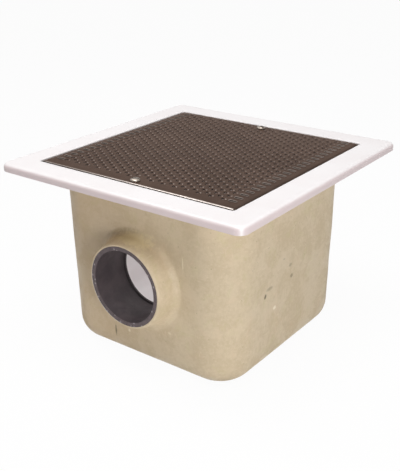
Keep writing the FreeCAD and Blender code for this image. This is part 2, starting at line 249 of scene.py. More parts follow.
class Graph:
    """Short ways to add nodes and links to one node tree."""

    def __init__(self, tree):
        self.tree = tree

    def node(self, kind, **settings):
        """Adds a shader node with its settings."""
        made = self.tree.nodes.new("ShaderNode" + kind)
        for name, value in settings.items():
            setattr(made, name, value)
        return made

    def link(self, source, target):
        self.tree.links.new(source, target)

    def feed(self, node, **values):
        """Sets or links inputs; an underscore in a name stands for a space."""
        for name, value in values.items():
            self.put(node.inputs[name.replace("_", " ")], value)
        return node

    def put(self, socket, value):
        """Links another node's output to a socket, or sets a plain value on it."""
        if isinstance(value, bpy.types.NodeSocket):
            self.link(value, socket)
        else:
            socket.default_value = value

    def math(self, operation, *values, clamp=False):
        """Result of an operation on values."""
        made = self.node("Math", operation=operation, use_clamp=clamp)
        for socket, value in zip(made.inputs, values):
            self.put(socket, value)
        return made.outputs[0]

    def ramp(self, value, low, high, to_low=0.0, to_high=1.0):
        """Smooth step of a value from one range to another."""
        made = self.node("MapRange", interpolation_type="SMOOTHSTEP")
        for socket, number in zip(made.inputs, (value, low, high, to_low, to_high)):
            self.put(socket, number)
        return made.outputs[0]

    def mix(self, share, first, second, blend="MIX"):
        """Mix of two colours by a share."""
        made = self.node("Mix", data_type="RGBA", blend_type=blend)
        self.put(made.inputs[0], share)
        self.put(made.inputs[6], first)
        self.put(made.inputs[7], second)
        return made.outputs[2]

    def noise(self, place, scale, detail=3.0, roughness=0.55, distortion=0.0):
        """Smooth noise over a place, about 0.5 in the middle."""
        made = self.node("TexNoise")
        self.feed(made, Vector=place, Scale=scale, Detail=detail, Roughness=roughness, Distortion=distortion)
        return made.outputs["Fac"]

    def parts(self, vector):
        """The X, Y and Z of a vector."""
        made = self.node("SeparateXYZ")
        self.link(vector, made.inputs[0])
        return made.outputs

    def stretched(self, place, scale, turn=0.0):
        """A place scaled along its axes and turned about Z by degrees."""
        made = self.node("Mapping")
        self.feed(made, Vector=place, Scale=scale, Rotation=(0, 0, math.radians(turn)))
        return made.outputs["Vector"]


def new_group(name, inputs, outputs):
    """Shader node group with named sockets; returns it with its graph, inlet and outlet."""
    group = bpy.data.node_groups.new(name, "ShaderNodeTree")
    for socket_name, kind, value in inputs:
        socket = group.interface.new_socket(socket_name, in_out="INPUT", socket_type="NodeSocket" + kind)
        if value is not None:
            socket.default_value = value
    for socket_name, kind in outputs:
        group.interface.new_socket(socket_name, in_out="OUTPUT", socket_type="NodeSocket" + kind)
    graph = Graph(group)
    inlet = group.nodes.new("NodeGroupInput")
    outlet = group.nodes.new("NodeGroupOutput")
    return group, graph, inlet.outputs, outlet.inputs


def make_mottle_group():
    """Cloudy change between two colours, with finer grain laid over it."""
    group, graph, given, wanted = new_group(
        "mottle",
        [("Place", "Vector", None), ("Light", "Color", (1, 1, 1, 1)), ("Dark", "Color", (0.5, 0.5, 0.5, 1)),
         ("Cloud Scale", "Float", 20.0), ("Grain Scale", "Float", 200.0), ("Grain", "Float", 0.2)],
        [("Color", "Color"), ("Mask", "Float")])
    clouds = graph.noise(given["Place"], given["Cloud Scale"], 4.0, 0.6, 0.4)
    share = graph.ramp(clouds, 0.34, 0.66)
    grain = graph.noise(given["Place"], given["Grain Scale"], 2.0, 0.6)
    lift = graph.math("MULTIPLY", graph.math("SUBTRACT", grain, 0.5), given["Grain"])
    total = graph.math("ADD", share, lift, clamp=True)
    graph.link(graph.mix(total, given["Light"], given["Dark"]), wanted["Color"])
    graph.link(total, wanted["Mask"])
    return group


def make_speck_group():
    """Scattered small specks: a mask that is 1 in the middle of each speck."""
    group, graph, given, wanted = new_group(
        "specks",
        [("Place", "Vector", None), ("Scale", "Float", 100.0), ("Size", "Float", 0.1),
         ("Amount", "Float", 0.2)],
        [("Mask", "Float")])
    cells = graph.node("TexVoronoi")
    ragged = graph.node("TexNoise")
    graph.feed(ragged, Vector=given["Place"], Scale=900.0, Detail=2.0)
    graph.feed(cells, Vector=given["Place"], Scale=given["Scale"])
    nibble = graph.math("MULTIPLY", ragged.outputs["Fac"], 0.06)
    edge = graph.math("SUBTRACT", cells.outputs["Distance"], nibble)
    inside = graph.ramp(edge, given["Size"], graph.math("MULTIPLY", given["Size"], 0.4))
    parts = graph.node("SeparateColor")
    graph.link(cells.outputs["Color"], parts.inputs["Color"])
    chosen = graph.math("LESS_THAN", parts.outputs["Red"], given["Amount"])
    graph.link(graph.math("MULTIPLY", inside, chosen), wanted["Mask"])
    return group


def make_mark_group():
    """A soft round or long mark at one place on the surface."""
    group, graph, given, wanted = new_group(
        "mark",
        [("Place", "Vector", None), ("Middle", "Vector", (0, 0, 0)),
         ("Half Size", "Vector", (0.01, 0.01, 0.01)), ("Ragged", "Float", 0.3)],
        [("Mask", "Float")])
    offset = graph.node("VectorMath", operation="SUBTRACT")
    graph.link(given["Place"], offset.inputs[0])
    graph.link(given["Middle"], offset.inputs[1])
    scaled = graph.node("VectorMath", operation="DIVIDE")
    graph.link(offset.outputs[0], scaled.inputs[0])
    graph.link(given["Half Size"], scaled.inputs[1])
    far = graph.node("VectorMath", operation="LENGTH")
    graph.link(scaled.outputs[0], far.inputs[0])
    wander = graph.math("SUBTRACT", graph.noise(given["Place"], 260.0, 3.0), 0.5)
    reach = graph.math("ADD", far.outputs["Value"], graph.math("MULTIPLY", wander, given["Ragged"]))
    graph.link(graph.ramp(reach, 1.0, 0.35), wanted["Mask"])
    return group


mottle = make_mottle_group()
specks = make_speck_group()
mark = make_mark_group()


def use(graph, group, **values):
    """Places a node group and fills its inputs."""
    made = graph.node("Group", node_tree=group)
    return graph.feed(made, **values)


# Materials

def new_material(name, colour, roughness, metallic=0.0, specular=0.5):
    """Material with one Principled shader; returns it with its graph, shader and place."""
    material = bpy.data.materials.new(name)
    material.use_nodes = True
    graph = Graph(material.node_tree)
    shader = material.node_tree.nodes["Principled BSDF"]
    shader.inputs["Base Color"].default_value = (*colour, 1)
    shader.inputs["Roughness"].default_value = roughness
    shader.inputs["Metallic"].default_value = metallic
    shader.inputs["Specular IOR Level"].default_value = specular
    place = graph.node("TexCoord").outputs["Object"]
    return material, graph, shader, place


def add_bump(graph, shader, height, strength, distance):
    """Bump on a shader from a height."""
    bump = graph.node("Bump")
    graph.feed(bump, Strength=strength, Distance=distance, Height=height)
    graph.link(bump.outputs["Normal"], shader.inputs["Normal"])


PINK_RIM_SHADE = (0.65, 0.55, 0.552, 1)


def make_gelcoat():
    """White glossy gelcoat with a faint warm cloud and orange peel, with painted shade and a pinker tint
    round its rim.
    """
    material, graph, shader, place = new_material("gelcoat", (0.82, 0.80, 0.795), 0.3)
    clouds = use(graph, mottle, Place=place, Light=(0.81, 0.78, 0.782, 1), Dark=(0.79, 0.75, 0.75, 1),
                 Cloud_Scale=14.0, Grain_Scale=160.0, Grain=0.3)
    across, along, height = graph.parts(place)
    outward = graph.math("MAXIMUM", graph.math("ABSOLUTE", across), graph.math("ABSOLUTE", along))
    # Painted shade: the rounded edge and lip of the flange are coloured darker and pinker.
    rim = graph.math("MULTIPLY", graph.ramp(outward, FLANGE_HALF - 4 * MM, FLANGE_HALF - 1 * MM),
                     graph.ramp(height, TOP - 0.4 * MM, TOP - 3.4 * MM))
    graph.link(graph.mix(rim, clouds.outputs["Color"], PINK_RIM_SHADE), shader.inputs["Base Color"])
    wear = graph.noise(place, 45.0, 4.0)
    graph.link(graph.ramp(wear, 0.3, 0.7, 0.30, 0.38), shader.inputs["Roughness"])
    add_bump(graph, shader, graph.noise(place, 120.0, 1.0), 0.02, 0.0004)
    return material


CREASE_RADIUS = 62.5 * MM
OLIVE_RESIN = (0.54, 0.49, 0.25, 1)
ROSY_RESIN = (0.68, 0.48, 0.33, 1)
FRONT_FACE_SHADE = (0.55, 0.40, 0.245, 1)
CREASE_SHADE = (0.30, 0.22, 0.12, 1)
BOSS_TOP_LIGHT = (0.84, 0.72, 0.46, 1)
STRAND = (0.82, 0.72, 0.54, 1)
GRIT = (0.24, 0.20, 0.11, 1)
DARK_MARK = (0.10, 0.08, 0.045, 1)
PALE_MARK = (0.90, 0.82, 0.66, 1)
# Marks on the raw outside, the last of them painted light on the boss top: middle and half size in
# millimetres, colour and strength
MARKS = (
    ((132.5, -60.5, 105.5), (4, 3.2, 4.2), DARK_MARK, 0.85),
    ((132.7, -52.0, 112.5), (4, 9.0, 3.0), DARK_MARK, 0.35),
    ((132.5, -1.5, 109.9), (4, 4.6, 3.2), DARK_MARK, 0.50),
    ((132.9, -5.5, 126.5), (4, 4.6, 3.6), DARK_MARK, 0.35),
    ((132.9, -22.0, 140.0), (4, 3.2, 1.6), DARK_MARK, 0.30),
    ((132.0, -38.4, 81.7), (4, 4.2, 3.2), PALE_MARK, 0.65),
    ((-43.4, -131.0, 35.0), (2.0, 6, 10.0), DARK_MARK, 0.70),
    ((-20.6, -131.2, 42.5), (2.4, 6, 3.2), PALE_MARK, 0.55),
    ((67.7, -133.5, 158.0), (1.3, 6, 11.0), PALE_MARK, 0.45),
    ((44.0, -131.0, 60.0), (3.0, 6, 2.0), PALE_MARK, 0.35),
    # Painted light: a paler patch over the top of the boss flare.
    ((6, -144, 177), (42, 16, 12), BOSS_TOP_LIGHT, 0.60),
)


def make_laminate():
    """Raw glass fibre laminate: clouded resin, glass strands, specks and a few marks, with painted shade on
    the left of the front face and in the crease above the boss, and painted light on the boss top.
    """
    material, graph, shader, place = new_material("laminate", (0.56, 0.45, 0.29), 0.55, specular=0.4)
    clouds = use(graph, mottle, Place=place, Light=(0.622, 0.510, 0.358, 1), Dark=(0.566, 0.459, 0.312, 1),
                 Cloud_Scale=34.0, Grain_Scale=230.0, Grain=2.2)
    olive = graph.ramp(graph.noise(place, 48.0, 4.0, 0.65, 0.6), 0.50, 0.72)
    colour = graph.mix(graph.math("MULTIPLY", olive, 0.26), clouds.outputs["Color"], OLIVE_RESIN)
    rosy = graph.ramp(graph.noise(graph.stretched(place, (1, 1, 1), 40), 42.0, 4.0, 0.6, 0.5), 0.52, 0.74)
    colour = graph.mix(graph.math("MULTIPLY", rosy, 0.15), colour, ROSY_RESIN)
    strands = None
    for turn, size in ((0, (1.0, 1.0, 0.16)), (35, (0.14, 1.0, 1.0)), (-50, (1.0, 0.15, 0.7))):
        layer = graph.noise(graph.stretched(place, size, turn), 620.0, 2.0, 0.5, 0.3)
        layer = graph.ramp(layer, 0.60, 0.78)
        strands = layer if strands is None else graph.math("MAXIMUM", strands, layer)
    colour = graph.mix(graph.math("MULTIPLY", strands, 0.22), colour, STRAND)
    grit = use(graph, specks, Place=place, Scale=210.0, Size=0.16, Amount=0.10)
    colour = graph.mix(graph.math("MULTIPLY", grit.outputs["Mask"], 0.45), colour, GRIT)

    across, along, height = graph.parts(place)
    on_front = graph.ramp(along, -0.100, -0.122)
    # Painted shade: the front face is coloured darker towards its left end.
    shade_to_left = graph.math("MULTIPLY", on_front, graph.ramp(across, 0.06, -0.10))
    colour = graph.mix(graph.math("MULTIPLY", shade_to_left, 0.45), colour, FRONT_FACE_SHADE)
    above = graph.math("SUBTRACT", height, OUTLET_HEIGHT)
    radius = graph.math("SQRT", graph.math("ADD", graph.math("MULTIPLY", across, across),
                                           graph.math("MULTIPLY", above, above)))
    off_root = graph.math("ABSOLUTE", graph.math("SUBTRACT", radius, CREASE_RADIUS))
    # Painted shade in the crease where the boss meets the wall, above and left of the outlet.
    crease_shade = graph.math("MULTIPLY", graph.ramp(off_root, 5 * MM, 0.5 * MM),
                        graph.ramp(above, 38 * MM, 56 * MM))
    front_left = graph.math("MULTIPLY", on_front, graph.ramp(across, 22 * MM, -8 * MM))
    crease_shade = graph.math("MULTIPLY", crease_shade, front_left)
    colour = graph.mix(graph.math("MULTIPLY", crease_shade, 0.45), colour, CREASE_SHADE)
    for middle, half_size, tone, share in MARKS:
        spot = use(graph, mark, Place=place, Middle=[value * MM for value in middle],
                   Half_Size=[value * MM for value in half_size], Ragged=0.9)
        colour = graph.mix(graph.math("MULTIPLY", spot.outputs["Mask"], share), colour, tone)
    graph.link(colour, shader.inputs["Base Color"])
    graph.link(graph.ramp(clouds.outputs["Mask"], 0.0, 1.0, 0.44, 0.66), shader.inputs["Roughness"])
    relief = graph.math("ADD", graph.math("MULTIPLY", strands, 0.5), graph.noise(place, 330.0, 3.0, 0.6))
    add_bump(graph, shader, relief, 0.35, 0.0006)
    return material


SAWN_END = (0.128, 0.100, 0.104, 1)
BURR = (0.34, 0.30, 0.31, 1)


def make_socket_grey():
    """Dark grey pipe plastic with a dull, scuffed surface."""
    material, graph, shader, place = new_material("socket_grey", (0.06, 0.048, 0.050), 0.5, specular=0.3)
    clouds = use(graph, mottle, Place=place, Light=(0.066, 0.050, 0.053, 1), Dark=(0.047, 0.036, 0.039, 1),
                 Cloud_Scale=40.0, Grain_Scale=420.0, Grain=0.7)
    sawn = graph.ramp(graph.parts(place)[1], MOUTH + 0.9 * MM, MOUTH + 0.3 * MM)
    rough_cut = graph.ramp(graph.noise(place, 170.0, 4.0, 0.7), 0.35, 0.65, 0.55, 1.0)
    colour = graph.mix(graph.math("MULTIPLY", sawn, rough_cut), clouds.outputs["Color"], SAWN_END)
    burrs = use(graph, specks, Place=place, Scale=240.0, Size=0.40, Amount=0.24)
    burr_share = graph.math("MULTIPLY", burrs.outputs["Mask"], graph.math("MULTIPLY", sawn, 0.8))
    colour = graph.mix(burr_share, colour, BURR)
    graph.link(colour, shader.inputs["Base Color"])
    graph.link(graph.ramp(graph.noise(place, 60.0, 4.0), 0.3, 0.7, 0.50, 0.70), shader.inputs["Roughness"])
    add_bump(graph, shader, graph.noise(place, 700.0, 2.0), 0.2, 0.0003)
    return material


def make_metal(name, light, dark, roughness, brush):
    """Brushed sheet metal: clouded tone and fine scratches along one direction."""
    material, graph, shader, place = new_material(name, light, roughness, metallic=1.0)
    clouds = use(graph, mottle, Place=place, Light=(*light, 1), Dark=(*dark, 1), Cloud_Scale=22.0,
                 Grain_Scale=500.0, Grain=0.5)
    graph.link(clouds.outputs["Color"], shader.inputs["Base Color"])
    lines = graph.noise(graph.stretched(place, brush), 1500.0, 3.0, 0.7)
    graph.link(graph.ramp(lines, 0.3, 0.7, roughness - 0.07, roughness + 0.09), shader.inputs["Roughness"])
    add_bump(graph, shader, lines, 0.10, 0.00015)
    return material, graph, shader, place, clouds.outputs["Color"]


FOLD_HIGHLIGHT = (0.66, 0.59, 0.55, 1)
SHADED_GAP = (0.03, 0.025, 0.022, 1)
HOLE_WALL = (0.17, 0.14, 0.128, 1)
STUD_HIGHLIGHT = (0.18, 0.155, 0.14, 1)
SLOT_COLLAR_HIGHLIGHT = (0.30, 0.26, 0.235, 1)


def make_stainless():
    """Sheet steel darkened as a painted dark reflection, with painted highlights on its front and back
    folds, studs and slot collars.
    """
    # The very dark base colour is a painted dark reflection of the surroundings.
    material, graph, shader, place, colour = make_metal(
        "stainless", (0.080, 0.057, 0.047), (0.060, 0.043, 0.036), 0.38, (0.05, 1.0, 1.0))
    shader.inputs["Specular Tint"].default_value = (0.77, 0.66, 0.61, 1)
    across, along, height = graph.parts(place)
    outward = graph.math("MAXIMUM", graph.math("ABSOLUTE", across), graph.math("ABSOLUTE", along))
    # Painted highlight along the front and back folds, brighter towards the right end.
    fold_highlight_share = graph.math("MULTIPLY", graph.ramp(graph.noise(place, 90.0, 3.0), 0.2, 0.6, 0.75, 1.0),
                        graph.ramp(across, -0.12, 0.09, 0.25, 1.0))
    fold = graph.ramp(graph.math("ABSOLUTE", along), GRILLE_HALF - BEND, GRILLE_HALF - BEND + 0.9 * MM)
    colour = graph.mix(graph.math("MULTIPLY", fold, fold_highlight_share), colour, FOLD_HIGHLIGHT)
    gap_side = graph.math("MULTIPLY", fold, graph.ramp(height, TOP - 0.5 * MM, TOP - 0.62 * MM))
    colour = graph.mix(gap_side, colour, SHADED_GAP)
    below = graph.math("MULTIPLY", graph.ramp(height, TOP - 0.05 * MM, TOP - 0.4 * MM),
                       graph.math("LESS_THAN", outward, GRILLE_HALF - BEND))
    colour = graph.mix(below, colour, HOLE_WALL)
    # Painted highlight: the raised studs and the slot collars are coloured brighter.
    raised = graph.ramp(height, TOP + 0.05 * MM, TOP + 0.5 * MM)
    colour = graph.mix(graph.math("MULTIPLY", raised, 0.5), colour, STUD_HIGHLIGHT)
    at_end = graph.math("GREATER_THAN", graph.math("ABSOLUTE", across), FIELD_HALF)
    collar = graph.math("MULTIPLY", raised, at_end)
    colour = graph.mix(graph.math("MULTIPLY", collar, 0.4), colour, SLOT_COLLAR_HIGHLIGHT)
    graph.link(colour, shader.inputs["Base Color"])
    graph.link(graph.math("SUBTRACT", 1.0, graph.math("MULTIPLY", below, 0.8)), shader.inputs["Metallic"])
    return material


gelcoat = make_gelcoat()
laminate = make_laminate()
socket_grey = make_socket_grey()
stainless = make_stainless()
screw_steel = make_metal("screw_steel", (0.32, 0.275, 0.235), (0.22, 0.185, 0.16), 0.24, (1.0, 1.0, 1.0))[0]
brass = make_metal("brass", (0.62, 0.43, 0.18), (0.45, 0.30, 0.12), 0.35, (1.0, 1.0, 0.1))[0]


# Floor, background and light

FLOOR_DROP = 0.5 * MM
FLOOR_GLOW = 0.96


def seen_directly(graph):
    """Mask that is 1 for camera, mirror and see-through rays, and 0 for bounced light."""
    path = graph.node("LightPath")
    seen = graph.math("MAXIMUM", path.outputs["Is Camera Ray"], path.outputs["Is Glossy Ray"])
    return graph.math("MAXIMUM", seen, path.outputs["Is Transmission Ray"])


def make_floor(size):
    """Pale floor under the drain; the camera sees it as white with the shadow kept."""
    floor_mesh = bmesh.new()
    bmesh.ops.create_grid(floor_mesh, x_segments=1, y_segments=1, size=size)
    data = bpy.data.meshes.new("floor")
    floor_mesh.to_mesh(data)
    floor_mesh.free()
    floor = bpy.data.objects.new("floor", data)
    floor.location.z = -FLOOR_DROP
    bpy.context.collection.objects.link(floor)
    material, graph, shader, place = new_material("floor_paint", (0.82, 0.82, 0.82), 0.9, specular=0.0)
    clouds = use(graph, mottle, Place=place, Light=(0.83, 0.83, 0.83, 1), Dark=(0.80, 0.80, 0.80, 1),
                 Cloud_Scale=1.5, Grain_Scale=60.0, Grain=0.3)
    graph.link(clouds.outputs["Color"], shader.inputs["Base Color"])
    glow = graph.node("Emission")
    graph.feed(glow, Color=(1, 1, 1, 1))
    blend = graph.node("MixShader")
    graph.link(graph.math("MULTIPLY", seen_directly(graph), FLOOR_GLOW), blend.inputs["Fac"])
    graph.link(shader.outputs["BSDF"], blend.inputs[1])
    graph.link(glow.outputs["Emission"], blend.inputs[2])
    graph.link(blend.outputs["Shader"], graph.tree.nodes["Material Output"].inputs["Surface"])
    data.materials.append(material)


def make_world(strength):
    """White surroundings: soft fill light, and plain white where a ray sees them."""
    world = bpy.data.worlds.new("studio")
    world.use_nodes = True
    world.node_tree.nodes.clear()
    graph = Graph(world.node_tree)
    light = graph.feed(graph.node("Background"), Color=(1, 1, 1, 1), Strength=strength)
    white = graph.feed(graph.node("Background"), Color=(1, 1, 1, 1), Strength=1.0)
    blend = graph.node("MixShader")
    graph.link(seen_directly(graph), blend.inputs["Fac"])
    graph.link(light.outputs["Background"], blend.inputs[1])
    graph.link(white.outputs["Background"], blend.inputs[2])
    graph.link(blend.outputs["Shader"], graph.node("OutputWorld").inputs["Surface"])
    bpy.context.scene.world = world


def make_softbox(name, place, aim, size, watts):
    """Square area lamp at a place, turned towards a point."""
    lamp_data = bpy.data.lights.new(name, "AREA")
    lamp_data.shape = "SQUARE"
    lamp_data.size = size
    lamp_data.energy = watts
    lamp = bpy.data.objects.new(name, lamp_data)
    lamp.location = place
    lamp.rotation_mode = "QUATERNION"
    lamp.rotation_quaternion = (Vector(aim) - Vector(place)).to_track_quat("-Z", "Y")
    lamp.visible_camera = False
    bpy.context.collection.objects.link(lamp)


bpy.context.scene.view_settings.view_transform = "Standard"
make_floor(6)
make_world(0.185)
make_softbox("key", (1.04, -0.68, 0.24), (0.05, -0.05, 0.12), 0.40, 6.3)
make_softbox("overhead", (0.15, -0.38, 1.85), (0, 0, 0.1), 1.2, 27)
make_softbox("fold_light", (-0.95, -0.24, 1.70), (0, 0, 0.2), 0.45, 5.0)
# Thin laminate lets daylight through; this lamp inside the sump stands for it.
make_softbox("light_through_walls", (0, 0, 0.2), (0, 0, 0), 0.2, 0.19)


# Sump moulding

GELCOAT = 0
RAW = 1


def arc_steps(count):
    """Sine and cosine of evenly spaced angles from 0 to 90 degrees."""
    angles = [math.pi / 2 * step / count for step in range(count + 1)]
    return [(math.sin(angle), math.cos(angle)) for angle in angles]


def drafted(half, corner, height):
    """Half width and corner radius of a drafted wall at a height."""
    inset = (SEAT - height) * DRAFT
    return half - inset, corner - inset


def wall_loops(mesh, half, corner, rounding, floor, heights):
    """Loops of a drafted wall from its foot, round from floor to wall, up to the last height."""
    loops = []
    foot_half, foot_corner = drafted(half, corner, floor + rounding)
    for sine, cosine in arc_steps(10):
        inset = rounding * (1 - sine)
        loops.append(rounded_square(
            mesh, foot_half - inset, foot_corner - inset, floor + rounding * (1 - cosine)))
    for height in heights:
        loops.append(rounded_square(mesh, *drafted(half, corner, height), height))
    return loops


def make_shell():
    """Closed shell of the moulding, without the boss, the outlet hole and the columns."""
    mesh = bmesh.new()
    rise = [(40 + 8 * step) * MM for step in range(24)]
    cavity_half, cavity_corner = BOX_HALF - LAMINATE, BOX_CORNER - LAMINATE
    ledge_edge = 2 * MM
    inside = wall_loops(mesh, cavity_half, cavity_corner, BASE_ROUNDING - LAMINATE,
                        LAMINATE, rise + [SEAT - ledge_edge])
    for sine, cosine in arc_steps(4)[1:]:
        inside.append(rounded_square(
            mesh, cavity_half + ledge_edge * (1 - cosine), cavity_corner + ledge_edge * (1 - cosine),
            SEAT - ledge_edge * (1 - sine)))
    recess_edge = 1.2 * MM
    inside.append(rounded_square(mesh, SEAT_HALF - 1 * MM, SEAT_CORNER, SEAT + FALL))
    inside.append(rounded_square(mesh, SEAT_HALF, SEAT_CORNER, SEAT + 1 * MM))
    for sine, cosine in arc_steps(4):
        inside.append(rounded_square(
            mesh, SEAT_HALF + recess_edge * (1 - cosine), SEAT_CORNER + recess_edge * (1 - cosine),
            TOP - recess_edge * (1 - sine)))
    for step in range(1, 4):
        inside.append(rounded_square(
            mesh, SEAT_HALF + 7 * MM * step, SEAT_CORNER + 2 * MM, TOP - step * FALL))
    for sine, cosine in arc_steps(8):
        inside.append(rounded_square(
            mesh, FLANGE_HALF - FLANGE_EDGE * (1 - sine), FLANGE_CORNER - FLANGE_EDGE * (1 - sine),
            TOP - 4 * FALL - (FLANGE_EDGE - 4 * FALL) * (1 - cosine)))
    inside.append(rounded_square(mesh, FLANGE_HALF, FLANGE_CORNER, LIP_BOTTOM + 0.6 * MM))
    inside.append(rounded_square(mesh, FLANGE_HALF - 0.6 * MM, FLANGE_CORNER - 0.6 * MM, LIP_BOTTOM))

    hollow_half, hollow_corner = FLANGE_HALF - LAMINATE, FLANGE_CORNER - LAMINATE
    pan_half, pan_corner = SEAT_HALF + LAMINATE, SEAT_CORNER + LAMINATE
    outside = [rounded_square(mesh, hollow_half, hollow_corner, LIP_BOTTOM + FALL),
               rounded_square(mesh, hollow_half, hollow_corner, TOP - LAMINATE - 2 * MM),
               rounded_square(mesh, hollow_half - 2 * MM, hollow_corner - 2 * MM, TOP - LAMINATE - FALL),
               rounded_square(mesh, pan_half + 2 * MM, pan_corner + 2 * MM, TOP - LAMINATE),
               rounded_square(mesh, pan_half, pan_corner, TOP - LAMINATE - 2 * MM),
               rounded_square(mesh, pan_half, pan_corner, SEAT - LAMINATE + 1 * MM),
               rounded_square(mesh, pan_half - 1 * MM, pan_corner - 1 * MM, SEAT - LAMINATE),
               rounded_square(mesh, BOX_HALF + 4 * MM, BOX_CORNER, SEAT - LAMINATE - FALL),
               rounded_square(mesh, BOX_HALF + 1 * MM, BOX_CORNER, SEAT - LAMINATE - 1 * MM)]
    wall = wall_loops(mesh, BOX_HALF, BOX_CORNER, BASE_ROUNDING, 0, rise[:-1])
    outside += wall[::-1]

    bridge(mesh, inside, GELCOAT)
    bridge(mesh, [inside[-1]] + outside, RAW)
    cap(mesh, inside[0], GELCOAT)
    cap(mesh, wall[0], RAW)
    return finish_mesh(mesh, "shell", 35)


def make_boss():
    """Solid boss round the pipe socket; its flank flares into the wall."""
    mesh = bmesh.new()
    foot = WALL_AT_OUTLET + BOSS_SINK
    start = foot - BOSS_FLARE
    loops = [round_loop(mesh, BOSS_RIM - 0.9 * MM, (0, MOUTH, OUTLET_HEIGHT), "Y")]
    for step in range(5):
        share = step / 5
        along = MOUTH + 1 * MM + (start - MOUTH - 1 * MM) * share
        radius = BOSS_RIM + (BOSS_NECK - BOSS_RIM) * share
        loops.append(round_loop(mesh, radius, (0, along, OUTLET_HEIGHT), "Y"))
    for sine, cosine in arc_steps(9):
        radius = BOSS_NECK + BOSS_FLARE * (1 - cosine)
        loops.append(round_loop(mesh, radius, (0, start + BOSS_FLARE * sine, OUTLET_HEIGHT), "Y"))
    loops.append(round_loop(mesh, BOSS_NECK + BOSS_FLARE, (0, foot + 0.8 * MM, OUTLET_HEIGHT), "Y"))
    bridge(mesh, loops, RAW)
    cap(mesh, loops[0], RAW)
    cap(mesh, loops[-1], RAW)
    return finish_mesh(mesh, "boss", 35)


def make_rod(radius, centre, length, facing, material):
    """Plain round solid that starts at a centre and runs along +Z or +Y."""
    mesh = bmesh.new()
    step = Vector((0, length, 0)) if facing == "Y" else Vector((0, 0, length))
    loops = [round_loop(mesh, radius, centre, facing),
             round_loop(mesh, radius, Vector(centre) + step, facing)]
    bridge(mesh, loops, material)
    for loop in loops:
        cap(mesh, loop, material)
    return finish_mesh(mesh, "rod", 35)


def make_wavy(mesh):
    """Hand-laid unevenness of the raw outside, fading out at the base, the flange and the outlet."""
    for vert in mesh.verts:
        if any(face.material_index == GELCOAT for face in vert.link_faces):
            continue
        spot = vert.co
        from_flange = min(1.0, max(0.0, (SEAT - 12 * MM - spot.z) / (20 * MM)))
        from_base = min(1.0, max(0.0, spot.z / (30 * MM)))
        from_mouth = min(1.0, max(0.0, (spot.y - MOUTH - 4 * MM) / (15 * MM)))
        broad = noise.noise(spot * 19) + 0.45 * noise.noise(spot * 47 + Vector((3, 1, 2)))
        vert.co = spot + vert.normal * (WAVE * broad * from_flange * from_base * from_mouth)


def make_moulding():
    """The whole moulding: shell, boss, outlet hole and the two screw columns."""
    data = make_shell()
    data = combined(data, make_boss(), "UNION")
    hole_start = (0, MOUTH - 1 * MM, OUTLET_HEIGHT)
    data = combined(data, make_rod(SOCKET_OUTER, hole_start, 40 * MM, "Y", GELCOAT), "DIFFERENCE")
    for side in (-1, 1):
        column_foot = (0, side * SCREW_OFFSET, TOP - SHEET - COLUMN_LENGTH)
        column = make_rod(COLUMN_RADIUS, column_foot, COLUMN_LENGTH, "Z", GELCOAT)
        data = combined(data, column, "UNION")
        pocket_foot = (0, side * SCREW_OFFSET, TOP - SHEET - INSERT_LENGTH)
        pocket = make_rod(INSERT_RADIUS, pocket_foot, INSERT_LENGTH + 1 * MM, "Z", GELCOAT)
        data = combined(data, pocket, "DIFFERENCE")
    mesh = bmesh.new()
    mesh.from_mesh(data)
    bmesh.ops.remove_doubles(mesh, verts=mesh.verts, dist=1e-6)
    for face in mesh.faces:
        middle = face.calc_center_median()
        on_column = abs(middle.x) < COLUMN_RADIUS + 1 * MM and middle.z < SEAT - LAMINATE
        if on_column and abs(middle.y) > BOX_HALF - 1 * MM:
            face.material_index = RAW
    make_wavy(mesh)
    data = finish_mesh(mesh, "moulding", 38)
    return new_piece("moulding", data, [gelcoat, laminate], "laminate", "sump_body")


make_moulding()


# Grille sheet

def rectangle_loop(mesh, width, length, columns, rows=4):
    """Loop of edges round one cell of the sheet, cut so that it meets its neighbours."""
    shape = Matrix.Translation((0, 0, TOP)) @ Matrix.Diagonal((width, length, 1, 1))
    bmesh.ops.create_grid(mesh, x_segments=columns, y_segments=rows, size=0.5, matrix=shape)
    inner = [vert for vert in mesh.verts if not vert.is_boundary]
    bmesh.ops.delete(mesh, geom=inner, context="VERTS")
    return number_loop(mesh)


def punched_loop(mesh, width, length, corner, segments, centre, rise=0.0):
    """Loop of a punched hole with rounded corners, at a height above the sheet."""
    shape = Matrix.Translation((*centre, TOP + rise)) @ Matrix.Diagonal((width, length, 1, 1))
    sheet = bmesh.ops.create_grid(mesh, x_segments=1, y_segments=1, size=0.5, matrix=shape)
    bmesh.ops.bevel(mesh, geom=sheet["verts"], offset=corner, offset_type="OFFSET", segments=segments,
                    profile=0.5, affect="VERTICES", material=-1)
    bmesh.ops.delete(mesh, geom=mesh.faces[:], context="FACES_ONLY")
    return number_loop(mesh)


